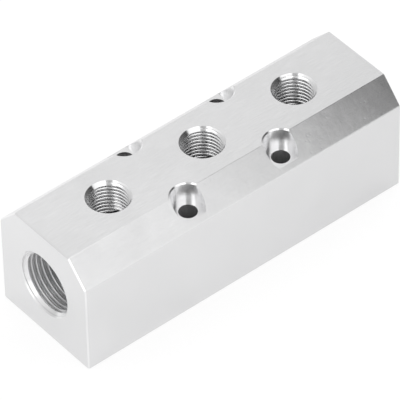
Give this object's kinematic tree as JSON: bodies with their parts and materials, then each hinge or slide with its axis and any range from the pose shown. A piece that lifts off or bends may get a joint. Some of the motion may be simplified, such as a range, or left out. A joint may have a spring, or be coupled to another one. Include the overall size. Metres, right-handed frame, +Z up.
{
  "type": "air manifold block",
  "caption": "Machined aluminium bar for sharing out compressed air: a tapped port in each end feeds a row of smaller tapped ports in the top, with counterbored screw holes beside them.",
  "frame": {"origin": "centre of the flat base, under the middle of the block", "axes": "+X along the block and its gallery, +Y across it, +Z up out of the top ports"},
  "size_m": [0.121, 0.04, 0.04],
  "materials": {
    "aluminium": "bare milled aluminium, satin, with fine lengthwise brushing on the long faces"
  },
  "bodies": {
    "root": {"manifold_block": "aluminium"}
  },
  "joints": []
}
